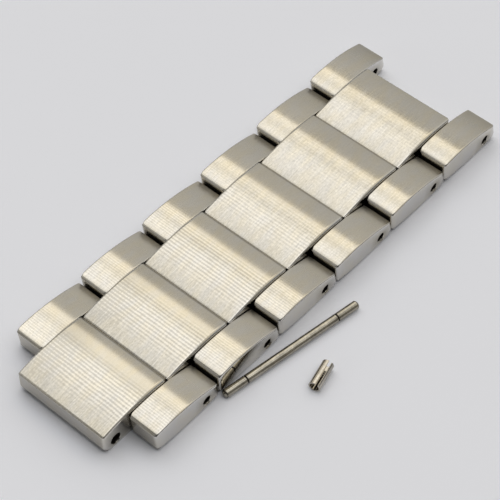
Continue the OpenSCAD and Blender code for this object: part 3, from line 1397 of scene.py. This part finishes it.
@dataclass(frozen=True)
class Bracelet:
    """The whole piece of bracelet, and the two spare pieces beside it."""

    link: CentreLink = CentreLink()
    last_link: CentreLink = CentreLink(far_edge=0.12)
    outer_links: OuterLinks = OuterLinks()
    # The held pins' domes sit in the outer links' holes and are painted dark all over: painted shade in the holes.
    held_pin: GroovedPin = GroovedPin(end_shade=1.0)
    loose_pin: GroovedPin = GroovedPin()
    collar: SlitCollar = SlitCollar()
    bright: Colour = (0.66, 0.64, 0.61)
    loose_pin_place: tuple[float, float] = (12.0, 20.5)
    loose_pin_turn: float = 80.7
    loose_collar_place: tuple[float, float] = (16.6, 19.8)
    loose_collar_turn: float = 103.4
    loose_slit_turn: float = 24.0

    def build(self, nodes: dict[str, Object]) -> list[Object]:
        """Builds every piece in order.

        Args:
            nodes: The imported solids, by name.

        Returns:
            The new pieces.
        """
        placing, pairing, turning = PlacingTree(), PairTree(), TurningTree()
        centre, outer = self.link_steels()
        pin = RodSteel("pin steel", (0.34, 0.317, 0.265), roughness=0.13).make()
        collar = RodSteel("collar steel", (0.44, 0.41, 0.36), roughness=0.14).make()
        bar = RodSteel("cross bar steel", (0.55, 0.51, 0.45), roughness=0.3).make()
        pieces = []
        for number in range(1, LINKS + 1):
            link = self.last_link if number == LINKS else self.link
            pieces.append(link.build(placing, centre, number))
            pieces.append(self.outer_links.build(pairing, outer, number))
            self.dress(nodes[f"cross_bars_{number}"], bar)
        for number in range(1, LINKS):
            body = f"link_{number + 1}"
            pieces.append(self.held_pin.build(turning, pin, Berth(f"hinge_pin_{number}", body, number)))
            pieces.append(self.collar.build(placing, collar, Berth(f"collar_{number}", body, number)))
        place, turn = (*self.loose_pin_place, TABLE + self.loose_pin.radius), (0.0, 0.0, self.loose_pin_turn)
        pieces.append(self.loose_pin.build(turning, pin, Berth("loose_pin", "spare_pin", 0, place, turn)))
        place = (*self.loose_collar_place, TABLE + self.collar.outer)
        turn = (self.loose_slit_turn, 0.0, self.loose_collar_turn)
        pieces.append(self.collar.build(placing, collar, Berth("loose_collar", "spare_collar", 0, place, turn)))
        for piece in pieces:
            log.info("%s: %d faces", piece.name, len(piece.data.polygons))
        return pieces

    def link_steels(self) -> tuple[Material, Material]:
        """Builds the steels of the links.

        Returns:
            The steel of the centre links and that of the outer links.
        """
        centre = LinkSteel(
            "centre link steel",
            (0.47, 0.446, 0.4),
            self.bright,
            first=-1.8,
            lines=0.2,
            streaks=0.5,
            specks=0.5,
            # Painted shade on the left half of the first centre tops.
            left_shade=0.17,
        )
        outer = LinkSteel(
            "outer link steel",
            (0.49, 0.465, 0.418),
            self.bright,
            first=2.0,
            lines=0.09,
            streaks=0.35,
            specks=0.4,
            line_gap=0.3,
            line_band=(0.1, 0.9, 3.2, 5.0),
            far_haze=0.22,
        )
        return centre.make(), outer.make()

    @staticmethod
    def dress(node: Object, finish: Material) -> None:
        """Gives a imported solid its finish.

        Args:
            node: The solid.
            finish: Its steel.
        """
        if not node.material_slots:
            node.data.materials.append(finish)
        for slot in node.material_slots:
            slot.material = finish


@dataclass(frozen=True)
class SideBox:
    """A square soft box, with its bearing, clockwise from +Y, and its height in degrees, and its size in metres."""

    name: str
    bearing: float
    height: float
    size: float
    radiance: float


@dataclass(frozen=True)
class Studio:
    """Camera, floor and soft lights. The lamps' angles are in degrees and their distances in metres."""

    camera_place: Triple = (83.101, -68.626, 160.297)
    camera_target: Triple = (-0.161, 27.756, -0.937)
    camera_roll: float = 0.377
    lens: float = 134.9
    sensor: float = 36
    clip: tuple[float, float] = (0.005, 20)
    floor_height: float = -1.052
    floor_reach: float = 3.0
    floor_colour: Colour = (0.904, 0.924, 0.995)
    floor_shade: float = 0.985
    floor_grain: Triple = (30.0, 30.0, 30.0)
    floor_roughness: float = 0.9
    box_heights: tuple[float, float] = (52.0, 101.0)
    box_sides: tuple[float, float] = (-45.0, 5.0)
    box_middle: float = 0.0276
    box_distance: float = 2.6
    box_radiance: float = 0.9
    light_tone: Colour = (1.0, 0.985, 0.95)
    side_distance: float = 1.6
    side_boxes: tuple[SideBox, ...] = (
        SideBox("left box", -95.0, 45.0, 1.0, 0.4),
        SideBox("high right box", 80.0, 68.0, 0.9, 1.0),
        SideBox("low near box", -153.0, 20.0, 0.6, 0.9),
    )
    # The room's light by the angle from +Y over the top: the angle, the radiance, and the shares of green and blue.
    room_lights: tuple[tuple[float, float, float, float], ...] = (
        (0, 0.24, 0.985, 0.94),
        (12, 0.45, 0.985, 0.94),
        (25, 0.66, 0.985, 0.94),
        (43, 0.79, 0.98, 0.93),
        (50, 0.8, 0.965, 0.88),
        (53, 1.0, 0.885, 0.67),
        (57, 0.9, 0.92, 0.74),
        (61, 0.57, 0.935, 0.8),
        (65, 0.88, 0.975, 0.92),
        (70, 0.88, 0.99, 0.99),
        (79, 0.76, 0.985, 0.97),
        (88, 0.56, 0.985, 0.95),
        (100, 0.38, 0.985, 0.94),
        (118, 0.22, 0.985, 0.95),
        (140, 0.12, 0.985, 0.95),
        (180, 0.15, 0.985, 0.95),
    )
    right_fall: tuple[float, float, float, float] = (0.45, 0.85, 1, 0.4)
    low_fall: tuple[float, float, float, float] = (0.0, 0.25, 0.4, 1)

    def build(self) -> None:
        """Makes the camera, the floor, the soft boxes and the room's light."""
        self.camera()
        self.floor()
        self.soft_box()
        for box in self.side_boxes:
            turn, rise = math.radians(box.bearing), math.radians(box.height)
            away = Vector((math.sin(turn) * math.cos(rise), math.cos(turn) * math.cos(rise), math.sin(rise)))
            across = Vector((0, 0, 1)).cross(away).normalized()
            self.lamp(box.name, away * self.side_distance, away, across, (box.size, box.size), box.radiance)
        self.room()

    def camera(self) -> None:
        """Puts the camera at the photograph's place."""
        data = bpy.data.cameras.new("camera")
        data.lens = self.lens
        data.sensor_width = self.sensor
        data.clip_start, data.clip_end = self.clip
        camera = put("camera", data)
        place, target = Vector(self.camera_place) * MM, Vector(self.camera_target) * MM
        forward = (target - place).normalized()
        across = forward.cross(Vector((0, 0, 1))).normalized()
        up = across.cross(forward)
        roll = math.radians(self.camera_roll)
        right = across * math.cos(roll) + up * math.sin(roll)
        upward = up * math.cos(roll) - across * math.sin(roll)
        turn = Matrix((right, upward, -forward)).transposed().to_4x4()
        camera.matrix_world = Matrix.Translation(place) @ turn
        bpy.context.scene.camera = camera

    def floor(self) -> None:
        """Lays the pale floor, which is clear when it is seen from below."""
        mesh = bpy.data.meshes.new("floor")
        reach = self.floor_reach
        square = ((-reach, -reach), (reach, -reach), (reach, reach), (-reach, reach))
        mesh.from_pydata([(*place, self.floor_height * MM) for place in square], [], [(0, 1, 2, 3)])
        floor = put("floor", mesh)
        material = bpy.data.materials.new("pale paper")
        bench = Bench.fresh(material)
        clouds = bench.noise(bench.add("ShaderNodeTexCoord", out="Object"), self.floor_grain)
        colour = bench.blend(clouds, scaled(self.floor_colour, self.floor_shade), self.floor_colour)
        paper = bench.add("ShaderNodeBsdfPrincipled", {}, {"Base Color": colour, "Roughness": self.floor_roughness})
        clear = bench.add("ShaderNodeBsdfTransparent")
        below = bench.add("ShaderNodeNewGeometry", out="Backfacing")
        bench.show(bench.add("ShaderNodeMixShader", {}, {0: below, 1: paper, 2: clear}))
        mesh.materials.append(material)

    def soft_box(self) -> None:
        """Hangs the main soft box, whose far edge runs straight across the bracelet."""
        low, high = (math.radians(angle) for angle in self.box_heights)
        left, right = (math.tan(math.radians(angle)) * self.box_distance for angle in self.box_sides)
        away = Vector((0, math.cos((low + high) / 2), math.sin((low + high) / 2)))
        place = away * self.box_distance + Vector(((left + right) / 2, self.box_middle, 0))
        size = (right - left, 2 * math.tan((high - low) / 2) * self.box_distance)
        self.lamp("soft box", place, away, Vector((1, 0, 0)), size, self.box_radiance)

    def lamp(
        self, name: str, place: Vector, away: Vector, across: Vector, size: tuple[float, float], radiance: float
    ) -> None:
        """Adds one square-cornered soft lamp.

        Args:
            name: Its name.
            place: Its place.
            away: The direction from the bracelet to it.
            across: The direction of its width.
            size: Its width and height.
            radiance: How bright its face is.
        """
        data = bpy.data.lights.new(name, "AREA")
        data.shape = "RECTANGLE"
        data.size, data.size_y = size
        data.energy = math.pi * size[0] * size[1] * radiance
        data.color = self.light_tone
        lamp = put(name, data)
        lamp.visible_camera = False
        lamp.location = place
        lamp.rotation_euler = Matrix((across, away.cross(across), away)).transposed().to_euler()

    def room(self) -> None:
        """Gives the room its soft light, by the angle over the top, weaker low down and far to the right."""
        world = bpy.data.worlds.new("room")
        bpy.context.scene.world = world
        bench = Bench.fresh(world)
        facing = bench.add("ShaderNodeTexCoord", out="Generated")
        across, along, height = (bench.part(facing, axis) for axis in "XYZ")
        stops = [
            (degrees / 180, (radiance, radiance * green, radiance * blue))
            for degrees, radiance, green, blue in self.room_lights
        ]
        angle = height.math("ARCTAN2", along) / math.pi
        colour = bench.add("ShaderNodeValToRGB", {"stops": stops}, {"Fac": angle}, "Color")
        strength = across.ramp(*self.right_fall) * height.ramp(*self.low_fall)
        light = bench.add("ShaderNodeBackground", {}, {"Color": colour, "Strength": strength})
        bench.show(light, "ShaderNodeOutputWorld")


def main() -> None:
    """Builds the bracelet and the studio in order."""
    logging.basicConfig(level=logging.INFO, format="%(name)s: %(message)s")
    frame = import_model()
    pieces = Bracelet().build(frame["nodes"])
    log.info("%d pieces", len(pieces))
    Studio().build()
    bpy.context.scene.view_settings.view_transform = "Standard"


if __name__ == "__main__":
    main()
